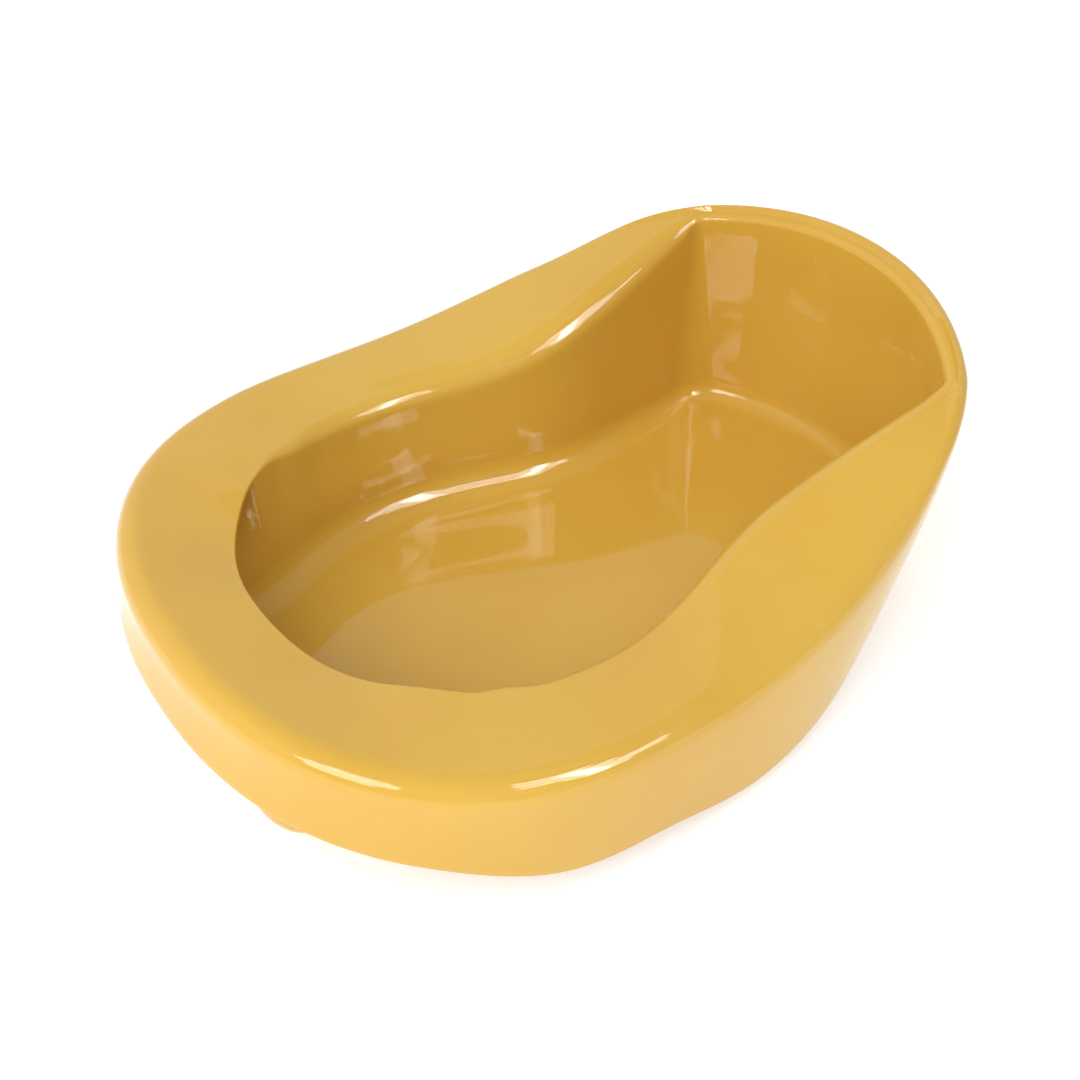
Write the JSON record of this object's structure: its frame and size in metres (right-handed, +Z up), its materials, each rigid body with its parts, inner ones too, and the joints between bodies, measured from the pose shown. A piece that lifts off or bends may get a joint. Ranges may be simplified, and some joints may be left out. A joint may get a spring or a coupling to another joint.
{
  "type": "bedpan",
  "caption": "Adult bedpan: wide seat, keyhole opening, deep basin, tall curved front and turned-down skirt.",
  "frame": {"origin": "below the middle of the pan, on the surface that it stands on", "axes": "+X towards the tall front wall, +Y towards the left side, +Z up"},
  "size_m": [0.3664, 0.287, 0.117],
  "materials": {
    "gold_plastic": "gloss injection-moulded polypropylene"
  },
  "bodies": {
    "root": {"basin_floor": "gold_plastic", "rear_pocket_wall": "gold_plastic", "side_wall_left": "gold_plastic", "side_wall_right": "gold_plastic", "front_wall": "gold_plastic", "lip_left": "gold_plastic", "lip_right": "gold_plastic", "front_rim": "gold_plastic", "seat_deck": "gold_plastic", "outer_skirt": "gold_plastic"}
  },
  "joints": []
}
